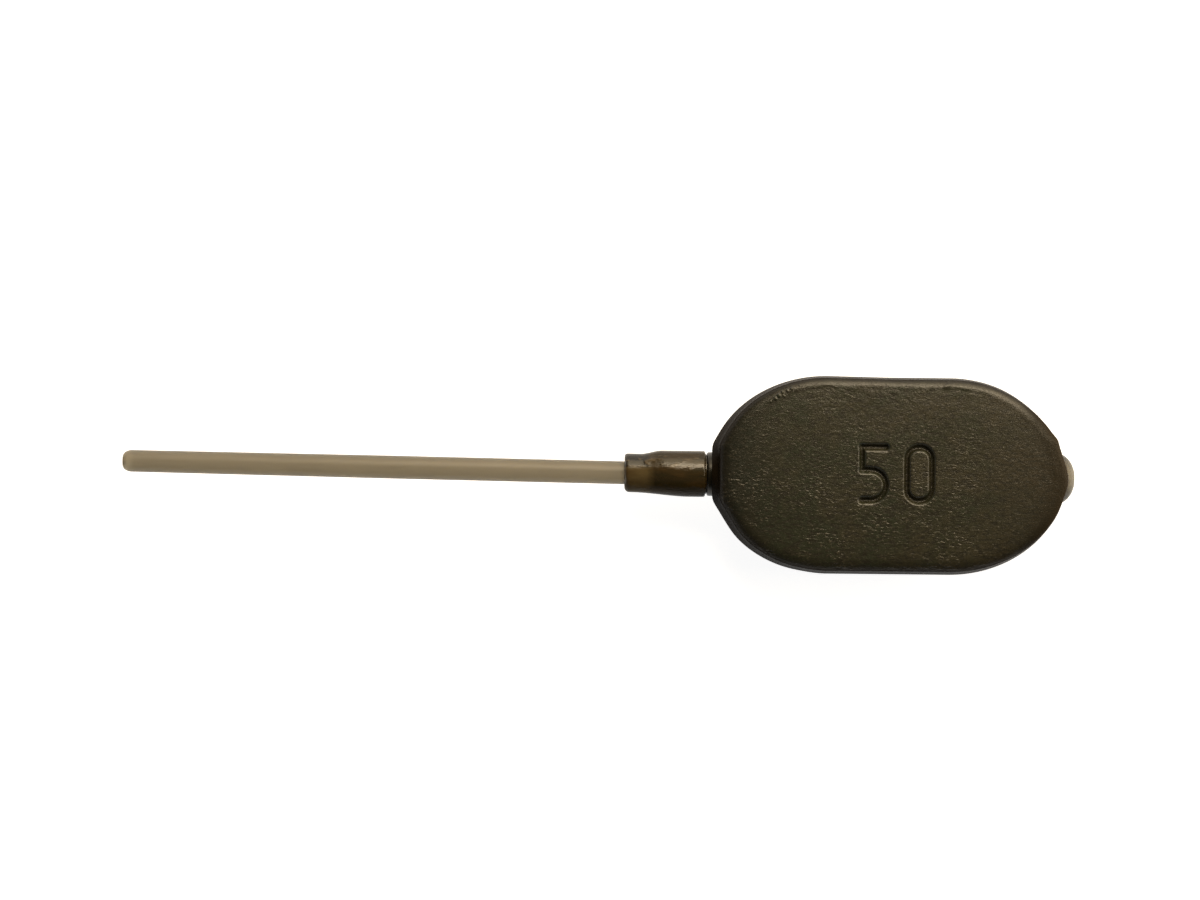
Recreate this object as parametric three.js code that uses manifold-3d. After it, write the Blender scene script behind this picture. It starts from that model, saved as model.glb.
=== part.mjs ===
// An inline flat method feeder, as it lies on a table with its marked lead face up.
// A cast lead plate carries a ribbed plastic bait frame. A hollow stem runs through the frame,
// a soft tail sleeve grips the stem's spigot, and a long tail tube plugs into the sleeve.
// Millimetres. +X points to the nose, +Z from the rib crowns, at z = 0, to the marked lead face.
import * as THREE from "three";
import { mergeVertices } from "three/addons/utils/BufferGeometryUtils.js";
import Module from "manifold-3d";

const wasm = await Module();
wasm.setup();

// Lead plate: an oval with straight flanks and half-elliptical ends
const LEAD_LENGTH = 50.8; // of the whole oval, before its tail is cut flat
const LEAD_WIDTH = 28.4;
const LEAD_FLANK = 17.6; // straight stretch of each long side
const TAIL_FLAT = 0.25; // how far the oval's tail is cut back, square to the stem
const LEAD_THICKNESS = 3.65;
const LEAD_EDGE_ROUND = 1.1; // radius round the marked face
const LEAD_WALL_LEAN = 0.4; // how far the side wall draws in towards the marked face
const NOSE_PAD_RADIUS = 4.5; // round tip of the lead over the stem's nose
const NOSE_PAD_REACH = 0.7; // past the oval's end

// Bait frame
const PLATE_THICKNESS = 1.2;
const PLATE_MARGIN = 1; // lead left bare all round the frame's plate
const RIM_WIDTH = 0.9;
const RIM_HEIGHT = 1.3; // how far the rim stands out of the plate, towards the crowns
const RIB_COUNT = 5;
const RIB_PITCH = 7.4;
const RIB_HEIGHT = 7; // from the plate to the crowns
const RIB_ROOT_THICKNESS = 1.5;
const RIB_CROWN_THICKNESS = 1;
const CROWN_INSET = 7.2; // how far the loaf-shaped outline of the ribs draws in at the crowns
const HOUSING_WALL = 0.9; // the tube of the frame that carries the stem
const HOUSING_SINK = 1.2; // depth of the housing below the plate, in the lead's trough
const HOUSING_TAIL_REACH = 0.65; // past the lead's tail
const NOSE_SETBACK = 1.2; // from the lead oval's end back to the seat of the stem's nose
const PEG_DIAMETER = 2;
const PEG_LENGTH = 1.5;
const PEG_SPACING_X = 22;
const PEG_SPACING_Y = 16;

// Stem
const STEM_DIAMETER = 4.3;
const STEM_BORE = 1.6; // for the line
const NOSE_DIAMETER = 7.2;
const NOSE_RIM = 0.15; // straight edge of the nose, behind its dome
const NOSE_DOME = 2.45;
const NOSE_LIP = 0.35; // flat land round the bore
const SPIGOT_REACH = 7.4; // from the housing's tail end to the stem's tail end
const SPIGOT_POINT = 1.4; // length of the tapered tip
const BARB_COUNT = 3;
const BARB_PITCH = 1.8;
const BARB_DEPTH = 0.25;

// Tail sleeve and tail tube
const SLEEVE_GRIP = 4.1; // how far the sleeve's narrow end holds the tube
const SLEEVE_WALL = 1.05;
const SLEEVE_STEP_LENGTH = 2.6; // outside taper from the wide end to the narrow end
const SLEEVE_MOUTH_ROUND = 0.5;
const TUBE_DIAMETER = 3.3;
const TUBE_BORE = 1.2;
const TUBE_LENGTH = 76;
const TUBE_END_ROUND = 0.8;
const TUBE_ROUND_SHARE = 0.8; // the most of the tube's wall that its end rounding takes
const TUBE_LEAN_DEG = 0.8; // the soft sleeve lets the tube lean sideways by this much

// Fits
const SLIP_FIT = 0.1; // radial clearance where one piece pushes into another
const CAST_GAP = 0.3; // between the frame and what the lead holds of it
const SEAT_GAP = 0.3; // between ends that meet along the stem

// Levels and stations that follow from these
const plateFace = RIB_HEIGHT;
const leadBase = plateFace + PLATE_THICKNESS;
const leadTop = leadBase + LEAD_THICKNESS;
const housingRadius = STEM_DIAMETER / 2 + SLIP_FIT + HOUSING_WALL;
const axisHeight = leadBase + HOUSING_SINK - housingRadius;
const leadTail = TAIL_FLAT - LEAD_LENGTH / 2;
const housingTail = leadTail - HOUSING_TAIL_REACH;
const housingNose = LEAD_LENGTH / 2 - NOSE_SETBACK;
const stemTail = housingTail - SPIGOT_REACH;
const noseTip = housingNose + NOSE_RIM + NOSE_DOME;
const sleeveFront = housingTail - SEAT_GAP;
const tubeFront = stemTail - SEAT_GAP;
const sleeveTail = tubeFront - SLEEVE_GRIP;

const RING_SIDES = 48; // facets round the stem, the housing and the tube
const PEG_SIDES = 20;
const ARC_STEPS = 6; // steps in a rounded edge
const DOME_STEPS = 9; // steps in the stem's domed nose
const LOAF_STEPS = 8; // steps in the ribs' loaf-shaped outline
const TAPER_STEPS = 8; // steps in the sleeve's taper
const OVAL_STEPS = 24; // steps in each half-elliptical end
const SHARE_WITHIN = 1e-4; // vertices this close are one
const past = LEAD_LENGTH; // a cut this long runs clear out of the feeder's end

// A geometry as a solid to join and cut, with its vertices shared.
function solidOf(geometry) {
  const bare = geometry.clone();
  bare.deleteAttribute("normal");
  bare.deleteAttribute("uv");
  const shared = mergeVertices(bare, SHARE_WITHIN);
  return new wasm.Manifold(
    new wasm.Mesh({
      numProp: 3,
      vertProperties: shared.attributes.position.array,
      triVerts: new Uint32Array(shared.index.array),
    }),
  );
}

// A joined or cut solid as a geometry again.
function geometryOf(solid) {
  const mesh = solid.getMesh();
  const geometry = new THREE.BufferGeometry();
  geometry.setAttribute("position", new THREE.BufferAttribute(mesh.vertProperties, 3));
  geometry.setIndex(new THREE.BufferAttribute(mesh.triVerts, 1));
  geometry.computeVertexNormals();
  return geometry;
}

// The plate's oval outline, with its flat tail, drawn in by inset; counter-clockwise at height z.
function ovalRing(inset, z) {
  const semiX = (LEAD_LENGTH - LEAD_FLANK) / 2 - inset;
  const semiY = LEAD_WIDTH / 2 - inset;
  const ring = [];
  for (const end of [1, -1]) {
    for (let i = 0; i <= OVAL_STEPS; i++) {
      const turn = (i / OVAL_STEPS - 0.5) * Math.PI;
      const x = end * (LEAD_FLANK / 2 + semiX * Math.cos(turn));
      ring.push(new THREE.Vector3(Math.max(x, leadTail + inset), end * semiY * Math.sin(turn), z));
    }
  }
  return ring;
}

// A closed solid through rings of equal count that climb in z, capped flat at both ends.
function loft(rings) {
  const count = rings[0].length;
  const centre = (ring) => new THREE.Vector3(0, 0, ring[0].z);
  const points = [...rings.flat(), centre(rings[0]), centre(rings.at(-1))];
  const low = points.length - 2;
  const faces = [];
  for (let j = 0; j < count; j++) {
    const next = (j + 1) % count;
    const top = (rings.length - 1) * count;
    faces.push(low, next, j, low + 1, top + j, top + next);
    for (let i = 0; i < rings.length - 1; i++) {
      const a = i * count;
      const b = a + count;
      faces.push(a + j, a + next, b + next, a + j, b + next, b + j);
    }
  }
  return new THREE.BufferGeometry().setFromPoints(points).setIndex(faces);
}

// Revolves a closed outline of [x, radius] points about the stem's axis.
function revolve(outline) {
  const points = outline.map(([x, radius]) => new THREE.Vector2(radius, x));
  return new THREE.LatheGeometry(points, RING_SIDES)
    .rotateZ(-Math.PI / 2)
    .translate(0, 0, axisHeight);
}

// A round bar along the stem's axis, for joins and cuts.
function bar(radius, from, to) {
  return solidOf(
    new THREE.CylinderGeometry(radius, radius, to - from, RING_SIDES)
      .rotateZ(-Math.PI / 2)
      .translate((from + to) / 2, 0, axisHeight),
  );
}

// An upright pin between two heights.
function pin(diameter, x, y, from, to) {
  const radius = diameter / 2;
  return solidOf(
    new THREE.CylinderGeometry(radius, radius, to - from, PEG_SIDES)
      .rotateX(Math.PI / 2)
      .translate(x, y, (from + to) / 2),
  );
}

// The four places where the frame's pegs stand in the lead.
function pegPlaces() {
  const places = [];
  for (const x of [-PEG_SPACING_X / 2, PEG_SPACING_X / 2]) {
    for (const y of [-PEG_SPACING_Y / 2, PEG_SPACING_Y / 2]) {
      places.push([x, y]);
    }
  }
  return places;
}

// Inset and height of the lead's side at each step, from its base to the marked face.
function leadEdge() {
  const steps = [[0, leadBase]];
  for (let i = 0; i <= ARC_STEPS; i++) {
    const turn = ((i / ARC_STEPS) * Math.PI) / 2;
    steps.push([
      LEAD_WALL_LEAN + LEAD_EDGE_ROUND * (1 - Math.cos(turn)),
      leadTop - LEAD_EDGE_ROUND * (1 - Math.sin(turn)),
    ]);
  }
  return steps;
}

// The cast lead: the oval plate drawn out to its nose pad, with the trough and peg sockets.
function leadWeight() {
  const plate = solidOf(loft(leadEdge().map(([inset, z]) => ovalRing(inset, z))));
  const padOutline = leadEdge().map(([inset, z]) => new THREE.Vector2(NOSE_PAD_RADIUS - inset, z));
  padOutline.unshift(new THREE.Vector2(0, leadBase));
  padOutline.push(new THREE.Vector2(0, leadTop));
  const padCentre = LEAD_LENGTH / 2 + NOSE_PAD_REACH - NOSE_PAD_RADIUS;
  const pad = new THREE.LatheGeometry(padOutline, RING_SIDES)
    .rotateX(Math.PI / 2)
    .translate(padCentre, 0, 0);
  let lead = wasm.Manifold.hull([plate, solidOf(pad)]);
  lead = lead.subtract(bar(housingRadius + CAST_GAP, -past, past));
  lead = lead.subtract(bar(NOSE_DIAMETER / 2 + CAST_GAP, housingNose - CAST_GAP, past));
  for (const [x, y] of pegPlaces()) {
    const socketTop = leadBase + PEG_LENGTH + CAST_GAP;
    lead = lead.subtract(pin(PEG_DIAMETER + 2 * CAST_GAP, x, y, leadBase - CAST_GAP, socketTop));
  }
  return geometryOf(lead);
}

// The loaf that the ribs are trimmed to: the oval drawn in along a quarter ellipse to the crowns.
function loaf() {
  const rings = [];
  for (let i = 0; i <= LOAF_STEPS; i++) {
    const turn = ((1 - i / LOAF_STEPS) * Math.PI) / 2;
    const inset = PLATE_MARGIN + CROWN_INSET * (1 - Math.cos(turn));
    rings.push(ovalRing(inset, plateFace * (1 - Math.sin(turn))));
  }
  return solidOf(loft(rings));
}

// One cross rib before trimming: a moulded fin that thins from its root to its crown.
function ribSlab(x) {
  const root = RIB_ROOT_THICKNESS / 2;
  const crown = RIB_CROWN_THICKNESS / 2;
  const section = new THREE.Shape([
    new THREE.Vector2(-crown, 0),
    new THREE.Vector2(crown, 0),
    new THREE.Vector2(root, plateFace),
    new THREE.Vector2(-root, plateFace),
  ]);
  return solidOf(
    new THREE.ExtrudeGeometry(section, { depth: LEAD_WIDTH, bevelEnabled: false })
      .rotateX(Math.PI / 2)
      .translate(x, LEAD_WIDTH / 2, 0),
  );
}

// The bait frame: plate, rim, ribs and stem housing in one moulding, with pegs into the lead.
function baitFrame() {
  const plateRings = [plateFace, leadBase].map((z) => ovalRing(PLATE_MARGIN, z));
  const rimLow = plateFace - RIM_HEIGHT;
  const rimRings = [rimLow, plateFace].map((z) => ovalRing(PLATE_MARGIN, z));
  const rimHole = [rimLow - RIM_HEIGHT, plateFace].map((z) => ovalRing(PLATE_MARGIN + RIM_WIDTH, z));
  const rim = solidOf(loft(rimRings)).subtract(solidOf(loft(rimHole)));
  const slabs = [];
  for (let i = 0; i < RIB_COUNT; i++) {
    slabs.push(ribSlab((i - (RIB_COUNT - 1) / 2) * RIB_PITCH));
  }
  const ribs = slabs.reduce((all, slab) => all.add(slab)).intersect(loaf());
  let frame = solidOf(loft(plateRings)).add(rim).add(ribs);
  frame = frame.add(bar(housingRadius, housingTail, housingNose));
  for (const [x, y] of pegPlaces()) {
    frame = frame.add(pin(PEG_DIAMETER, x, y, plateFace, leadBase + PEG_LENGTH));
  }
  frame = frame.subtract(bar(NOSE_DIAMETER / 2 + CAST_GAP, housingNose, past));
  return geometryOf(frame.subtract(bar(STEM_DIAMETER / 2 + SLIP_FIT, -past, past)));
}

// The stem: a domed nose, a plain shank through the housing and a barbed spigot at the tail.
function stemOutline() {
  const bore = STEM_BORE / 2;
  const shank = STEM_DIAMETER / 2;
  const nose = NOSE_DIAMETER / 2;
  const outline = [
    [stemTail, bore],
    [stemTail, TUBE_DIAMETER / 2],
    [stemTail + SPIGOT_POINT, shank],
  ];
  for (let i = 0; i < BARB_COUNT; i++) {
    const edge = stemTail + SPIGOT_POINT + i * BARB_PITCH;
    outline.push([edge + BARB_DEPTH, shank], [edge + BARB_DEPTH, shank - BARB_DEPTH]);
    outline.push([edge + BARB_PITCH - BARB_DEPTH, shank]);
  }
  outline.push([housingNose, shank], [housingNose, nose]);
  const landTurn = Math.acos((bore + NOSE_LIP) / nose);
  for (let i = 0; i <= DOME_STEPS; i++) {
    const turn = (i / DOME_STEPS) * landTurn;
    const along = (NOSE_DOME * Math.sin(turn)) / Math.sin(landTurn);
    outline.push([housingNose + NOSE_RIM + along, nose * Math.cos(turn)]);
  }
  outline.push([noseTip, bore], [stemTail, bore]);
  return outline;
}

// The tail sleeve: a wide end over the spigot, a stepped bore and a narrow end round the tube.
function sleeveOutline() {
  const wideBore = STEM_DIAMETER / 2 + SLIP_FIT;
  const narrowBore = TUBE_DIAMETER / 2 + SLIP_FIT;
  const wide = wideBore + SLEEVE_WALL;
  const narrow = narrowBore + SLEEVE_WALL;
  const stepEnd = stemTail + SPIGOT_POINT;
  const outline = [
    [sleeveTail, narrowBore],
    [sleeveTail, narrow - SLEEVE_MOUTH_ROUND],
    [sleeveTail + SLEEVE_MOUTH_ROUND, narrow],
  ];
  for (let i = 0; i <= TAPER_STEPS; i++) {
    const share = i / TAPER_STEPS;
    const rise = share * share * (3 - 2 * share);
    outline.push([stepEnd - SLEEVE_STEP_LENGTH * (1 - share), narrow + (wide - narrow) * rise]);
  }
  outline.push([sleeveFront - SLEEVE_MOUTH_ROUND, wide], [sleeveFront, wide - SLEEVE_MOUTH_ROUND]);
  outline.push([sleeveFront, wideBore], [stepEnd, wideBore], [stemTail, narrowBore]);
  outline.push([sleeveTail, narrowBore]);
  return outline;
}

// The tail tube along its own axis, front end at the origin, with its far rim rounded over.
function tubeGeometry() {
  const bore = TUBE_BORE / 2;
  const outside = TUBE_DIAMETER / 2;
  const round = Math.min(TUBE_END_ROUND, TUBE_ROUND_SHARE * (outside - bore));
  const outline = [new THREE.Vector2(bore, -TUBE_LENGTH)];
  for (let i = 0; i <= ARC_STEPS; i++) {
    const turn = ((i / ARC_STEPS) * Math.PI) / 2;
    outline.push(
      new THREE.Vector2(
        outside - round * (1 - Math.sin(turn)),
        round * (1 - Math.cos(turn)) - TUBE_LENGTH,
      ),
    );
  }
  outline.push(new THREE.Vector2(outside, 0), new THREE.Vector2(bore, 0), outline[0].clone());
  return new THREE.LatheGeometry(outline, RING_SIDES).rotateZ(-Math.PI / 2);
}

function piece(name, geometry, color, roughness, metalness) {
  const material = new THREE.MeshStandardMaterial({ color, roughness, metalness });
  const mesh = new THREE.Mesh(geometry, material);
  mesh.name = name;
  return mesh;
}

const feeder = new THREE.Group();
feeder.add(piece("lead_weight", leadWeight(), 0x3a3526, 0.5, 0.2));
feeder.add(piece("bait_frame", baitFrame(), 0x2f2c1d, 0.45, 0));
feeder.add(piece("stem", revolve(stemOutline()), 0x8a7a5c, 0.3, 0));
feeder.add(piece("tail_sleeve", revolve(sleeveOutline()), 0x50422a, 0.35, 0));

const tube = piece("tail_tube", tubeGeometry(), 0x89785c, 0.35, 0);
tube.position.set(tubeFront, 0, axisHeight);
tube.rotation.z = THREE.MathUtils.degToRad(-TUBE_LEAN_DEG);
feeder.add(tube);

export default feeder;
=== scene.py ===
"""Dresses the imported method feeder: coated lead, bait frame, stem, tail sleeve and tail tube.

Sizes are in millimetres in the row's frame, and every mesh is written out in metres.
"""

import logging
import math
from dataclasses import astuple, dataclass
from enum import Enum
from typing import NamedTuple

import bmesh
import bpy
import numpy as np
from mathutils import Matrix, Vector, noise


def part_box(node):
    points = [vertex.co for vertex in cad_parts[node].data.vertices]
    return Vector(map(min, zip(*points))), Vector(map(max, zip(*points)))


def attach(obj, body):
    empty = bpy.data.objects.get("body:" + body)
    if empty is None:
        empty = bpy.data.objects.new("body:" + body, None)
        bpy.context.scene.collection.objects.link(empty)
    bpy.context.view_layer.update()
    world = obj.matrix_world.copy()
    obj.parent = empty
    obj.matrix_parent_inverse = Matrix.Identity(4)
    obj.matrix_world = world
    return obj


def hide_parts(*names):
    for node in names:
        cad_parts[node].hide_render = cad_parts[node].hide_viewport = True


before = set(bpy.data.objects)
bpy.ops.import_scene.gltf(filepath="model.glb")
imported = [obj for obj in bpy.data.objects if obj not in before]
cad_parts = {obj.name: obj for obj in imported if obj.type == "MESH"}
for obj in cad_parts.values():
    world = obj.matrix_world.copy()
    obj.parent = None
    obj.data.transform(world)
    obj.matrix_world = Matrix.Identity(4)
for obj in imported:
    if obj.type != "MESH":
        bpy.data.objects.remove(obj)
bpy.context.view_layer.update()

MM = 0.001
QUARTER = math.pi / 2
TINY = 1e-9
WELD_DISTANCE = 1e-7
SHARP_ANGLE = 50.0
WHITE = (1.0, 1.0, 1.0, 1.0)
BRIGHTEST = 255
CURVE_KNEE = 0.04045
CURVE_SLOPE = 12.92
CURVE_LIFT = 0.055
CURVE_POWER = 2.4
MIX_FIRST = 6
MIX_SECOND = 7
MIX_RESULT = 2
log = logging.getLogger("feeder")

Shade = tuple[int, int, int]
Socket = bpy.types.NodeSocket


def linear(shade: Shade) -> tuple[float, float, float, float]:
    """Turns a colour as a screen shows it into the linear colour that a shader takes.

    Args:
        shade: Red, green and blue, 0 to 255.

    Returns:
        The linear colour with full alpha.
    """
    channels = []
    for value in shade:
        share = value / BRIGHTEST
        curved = ((share + CURVE_LIFT) / (1 + CURVE_LIFT)) ** CURVE_POWER
        channels.append(share / CURVE_SLOPE if share <= CURVE_KNEE else curved)
    return (*channels, 1.0)


@dataclass(frozen=True)
class Extent:
    """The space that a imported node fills, in millimetres."""

    low: Vector
    high: Vector

    @classmethod
    def of(cls, node: str) -> "Extent":
        """Returns the space of the named node."""
        low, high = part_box(node)
        return cls(low / MM, high / MM)

    @property
    def axis_height(self) -> float:
        """Height of a round piece's axis above the table."""
        return (self.low.z + self.high.z) / 2


class Cloud(NamedTuple):
    """A cloudy pattern: its largest features, its finer layers, their strength and its stretch along X."""

    size_mm: float
    detail: float
    roughness: float = 0.5
    stretch: float = 1.0


class Span(NamedTuple):
    """Two ends of a span of values and what they become; what lies outside is clamped."""

    low: float
    high: float
    to_low: float = 0.0
    to_high: float = 1.0


class Graph:
    """The node tree of a material or of the world, with short calls for the nodes they share."""

    def __init__(self, tree: bpy.types.NodeTree) -> None:
        """Takes up a node tree."""
        self.nodes = tree.nodes
        self.links = tree.links

    def coordinate(self, kind: str, axis: str) -> Socket:
        """Reads a coordinate.

        Args:
            kind: Object for a piece's own coordinates, Generated for a direction in the world.
            axis: X, Y or Z.

        Returns:
            The coordinate.
        """
        parts = self.nodes.new("ShaderNodeSeparateXYZ")
        places = self.nodes.new("ShaderNodeTexCoord").outputs[kind]
        self.links.new(places, parts.inputs["Vector"])
        return parts.outputs[axis]

    def spread(self, value: Socket, span: Span) -> Socket:
        """Maps a value's span to another span, and clamps what lies outside.

        Args:
            value: The value to map.
            span: The span and what its ends become.

        Returns:
            The mapped value.
        """
        node = self.nodes.new("ShaderNodeMapRange")
        for name, number in zip(("From Min", "From Max", "To Min", "To Max"), span):
            node.inputs[name].default_value = number
        self.links.new(value, node.inputs["Value"])
        return node.outputs["Result"]

    def math(self, operation: str, first: Socket, second: Socket | float = 0.0) -> Socket:
        """Joins two values by an operation.

        Args:
            operation: Its name, such as ADD or MULTIPLY.
            first: The first value.
            second: The second value, an output or a number.

        Returns:
            The result.
        """
        node = self.nodes.new("ShaderNodeMath")
        node.operation = operation
        self.links.new(first, node.inputs[0])
        if isinstance(second, Socket):
            self.links.new(second, node.inputs[1])
        else:
            node.inputs[1].default_value = second
        return node.outputs["Value"]

    def white_rays(self, mirrored_share: Socket | float = 1.0) -> Socket:
        """Picks out the rays that see a background as white: the camera's, mirrored and let-through ones.

        Args:
            mirrored_share: How much of the white the mirrored and let-through rays see.

        Returns:
            The share of white, 0 to 1.
        """
        path = self.nodes.new("ShaderNodeLightPath").outputs
        share = self.math("MAXIMUM", path["Is Glossy Ray"], path["Is Transmission Ray"])
        share = self.math("MULTIPLY", share, mirrored_share)
        return self.math("MAXIMUM", share, path["Is Camera Ray"])


class Recipe(Graph):
    """A material's node graph, with short calls for the nodes that the finishes share."""

    def __init__(self, name: str) -> None:
        """Starts an empty material.

        Args:
            name: The material's name.
        """
        self.material = bpy.data.materials.new(name)
        self.material.use_nodes = True
        super().__init__(self.material.node_tree)
        self.shader = self.nodes["Principled BSDF"]
        self.places = self.nodes.new("ShaderNodeTexCoord").outputs["Object"]

    def set(self, **values: object) -> None:
        """Sets the shader's own sockets; an underscore in a name stands for a space."""
        for name, value in values.items():
            self.shader.inputs[name.replace("_", " ")].default_value = value

    def feed(self, socket: str, output: Socket) -> None:
        """Links an output to one of the shader's sockets."""
        self.links.new(output, self.shader.inputs[socket])

    def along(self, axis: str) -> Socket:
        """Reads the piece's coordinate along an axis, in millimetres."""
        return self.math("DIVIDE", self.coordinate("Object", axis), MM)

    def noise(self, cloud: Cloud) -> Socket:
        """Adds a cloudy pattern.

        Args:
            cloud: The pattern's sizes.

        Returns:
            The pattern, about 0 to 1.
        """
        texture = self.nodes.new("ShaderNodeTexNoise")
        texture.inputs["Scale"].default_value = 1 / (cloud.size_mm * MM)
        texture.inputs["Detail"].default_value = cloud.detail
        texture.inputs["Roughness"].default_value = cloud.roughness
        places = self.places
        if cloud.stretch != 1:
            mapping = self.nodes.new("ShaderNodeMapping")
            mapping.inputs["Scale"].default_value = (1 / cloud.stretch, 1, 1)
            self.links.new(places, mapping.inputs["Vector"])
            places = mapping.outputs["Vector"]
        self.links.new(places, texture.inputs["Vector"])
        return texture.outputs["Fac"]

    def blend(self, share: Socket, first: Socket | Shade, second: Socket | Shade) -> Socket:
        """Mixes two colours.

        Args:
            share: How much of the second colour shows, 0 to 1.
            first: The colour at 0.
            second: The colour at 1.

        Returns:
            The mixed colour.
        """
        node = self.nodes.new("ShaderNodeMix")
        node.data_type = "RGBA"
        self.links.new(share, node.inputs["Factor"])
        for socket, colour in ((node.inputs[MIX_FIRST], first), (node.inputs[MIX_SECOND], second)):
            if isinstance(colour, Socket):
                self.links.new(colour, socket)
            else:
                socket.default_value = linear(colour)
        return node.outputs[MIX_RESULT]

    def relief(self, layers: list[tuple[Socket, float]]) -> None:
        """Raises the surface by several patterns.

        Args:
            layers: The height map of each pattern and its height in millimetres.
        """
        normal = None
        for height, depth_mm in layers:
            bump = self.nodes.new("ShaderNodeBump")
            bump.inputs["Distance"].default_value = depth_mm * MM
            self.links.new(height, bump.inputs["Height"])
            if normal is not None:
                self.links.new(normal, bump.inputs["Normal"])
            normal = bump.outputs["Normal"]
        self.feed("Normal", normal)


@dataclass(frozen=True)
class CoatedLead:
    """Cast lead under a thin dark olive-brown coat, with a leathery grain and duller sides."""

    slot: str = "coated_lead"
    brown: Shade = (47, 44, 29)
    green: Shade = (37, 40, 25)
    # Painted shade: the coat is drawn darker in the low parts of the wrinkled grain.
    hollow_shade: Shade = (33, 31, 20)
    # Painted shade: the tail end of the coat is drawn almost black, as it looks when lit from the nose
    # side.
    tail: Shade = (15, 16, 8)
    worn: Shade = (46, 39, 26)
    # Painted shade: the rim at the nose end, below the face, is drawn darker to dim its highlight.
    nose: Shade = (36, 34, 26)
    side: Shade = (26, 21, 14)
    nose_side: Shade = (53, 44, 31)
    # Pale specks of the grain, partly a painted highlight: they stand in for glints on the raised ridges.
    fleck_glint: Shade = (62, 58, 44)
    mottle: Cloud = Cloud(4.4, 3.0, 0.6)
    mottle_span: Span = Span(0.38, 0.62)
    browner_to_nose: Span = Span(-16.0, 6.0, -0.4, 0.1)
    tail_shade_reach: Span = Span(-24.5, -15.0, 0.9, 0.0)
    worn_reach: Span = Span(12.0, 23.0, 0.0, 0.8)
    wrinkle: Cloud = Cloud(0.4, 2.0, 0.55, 2.6)
    hollow_shade_span: Span = Span(0.36, 0.56)
    pore: Cloud = Cloud(0.19, 2.0, 0.5, 1.6)
    fleck_glint_span: Span = Span(0.4, 0.6)
    ridge: Cloud = Cloud(0.34, 1.5, 0.5, 1.8)
    ridge_span: Span = Span(0.54, 0.7)
    cluster: Cloud = Cloud(5.5, 1.0)
    cluster_span: Span = Span(0.38, 0.6, 0.45, 1.05)
    calm_to_upper: Span = Span(9.0, -2.0, 0.5, 1.0)
    calm_to_nose: Span = Span(12.0, 20.0, 1.0, 0.3)
    nose_shade_reach: Span = Span(18.0, 21.0)
    below_face: Span = Span(11.2, 11.45, 1.0, 0.0)
    wall_to_face: Span = Span(10.6, 11.5)
    side_reach: Span = Span(20.0, 24.0)
    roughness: Span = Span(0.3, 0.7, 0.3, 0.42)
    gloss: Span = Span(0.0, 1.0, 0.012, 0.6)
    nose_gloss: Span = Span(0.0, 1.0, 1.0, 0.3)
    wrinkle_height: float = 0.045
    ridge_height: float = 0.025
    pore_height: float = 0.012
    pore_peaks: Span = Span(0.5, 0.8)

    def material(self) -> bpy.types.Material:
        """Builds the finish.

        Returns:
            The material.
        """
        recipe = Recipe(self.slot)
        wrinkles = recipe.noise(self.wrinkle)
        pores = recipe.noise(self.pore)
        station, height = recipe.along("X"), recipe.along("Z")
        patches = recipe.spread(recipe.noise(self.mottle), self.mottle_span)
        patches = recipe.math("ADD", patches, recipe.spread(station, self.browner_to_nose))
        colour = recipe.blend(patches, self.green, self.brown)
        # Painted shade towards the tail end.
        colour = recipe.blend(recipe.spread(station, self.tail_shade_reach), colour, self.tail)
        colour = recipe.blend(recipe.spread(station, self.worn_reach), colour, self.worn)
        # Painted shade in the grain's hollows.
        colour = recipe.blend(recipe.spread(wrinkles, self.hollow_shade_span), self.hollow_shade, colour)
        rough = recipe.spread(recipe.along("Y"), self.calm_to_upper)
        rough = recipe.math("MULTIPLY", rough, recipe.spread(station, self.calm_to_nose))
        clusters = recipe.spread(recipe.noise(self.cluster), self.cluster_span)
        rough = recipe.math("MULTIPLY", rough, clusters)
        ridges = recipe.spread(recipe.noise(self.ridge), self.ridge_span)
        ridges = recipe.math("MULTIPLY", ridges, rough)
        # Pale flecks on the ridges, partly painted glints.
        fleck_glints = recipe.math("MULTIPLY", recipe.spread(pores, self.fleck_glint_span), ridges)
        colour = recipe.blend(fleck_glints, colour, self.fleck_glint)
        # Painted shade on the nose rim; the same mask also lowers the gloss there.
        nose_rim_shade = recipe.spread(station, self.nose_shade_reach)
        nose_rim_shade = recipe.math("MULTIPLY", nose_rim_shade, recipe.spread(height, self.below_face))
        colour = recipe.blend(nose_rim_shade, colour, self.nose)
        rise = recipe.spread(height, self.wall_to_face)
        side = recipe.blend(recipe.spread(station, self.side_reach), self.side, self.nose_side)
        recipe.feed("Base Color", recipe.blend(rise, side, colour))
        recipe.feed("Roughness", recipe.spread(pores, self.roughness))
        gloss = recipe.spread(rise, self.gloss)
        gloss = recipe.math("MULTIPLY", gloss, recipe.spread(nose_rim_shade, self.nose_gloss))
        recipe.feed("Specular IOR Level", gloss)
        wrinkles = recipe.math("MULTIPLY", wrinkles, rough)
        recipe.relief([
            (wrinkles, self.wrinkle_height),
            (ridges, self.ridge_height),
            (recipe.spread(pores, self.pore_peaks), self.pore_height),
        ])
        return recipe.material


@dataclass(frozen=True)
class OlivePlastic:
    """Moulded dark olive plastic with a faint mould texture."""

    slot: str = "olive_plastic"
    deep: Shade = (19, 17, 10)
    pale: Shade = (27, 24, 14)
    cloud: Cloud = Cloud(4.0, 3.0)
    grain: Cloud = Cloud(0.12, 1.0)
    grain_height: float = 0.006
    roughness: Span = Span(0.3, 0.7, 0.26, 0.36)

    def material(self) -> bpy.types.Material:
        """Builds the finish.

        Returns:
            The material.
        """
        recipe = Recipe(self.slot)
        clouds = recipe.noise(self.cloud)
        recipe.feed("Base Color", recipe.blend(clouds, self.deep, self.pale))
        recipe.feed("Roughness", recipe.spread(clouds, self.roughness))
        recipe.set(Specular_IOR_Level=0.25)
        recipe.relief([(recipe.noise(self.grain), self.grain_height)])
        return recipe.material


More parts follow.
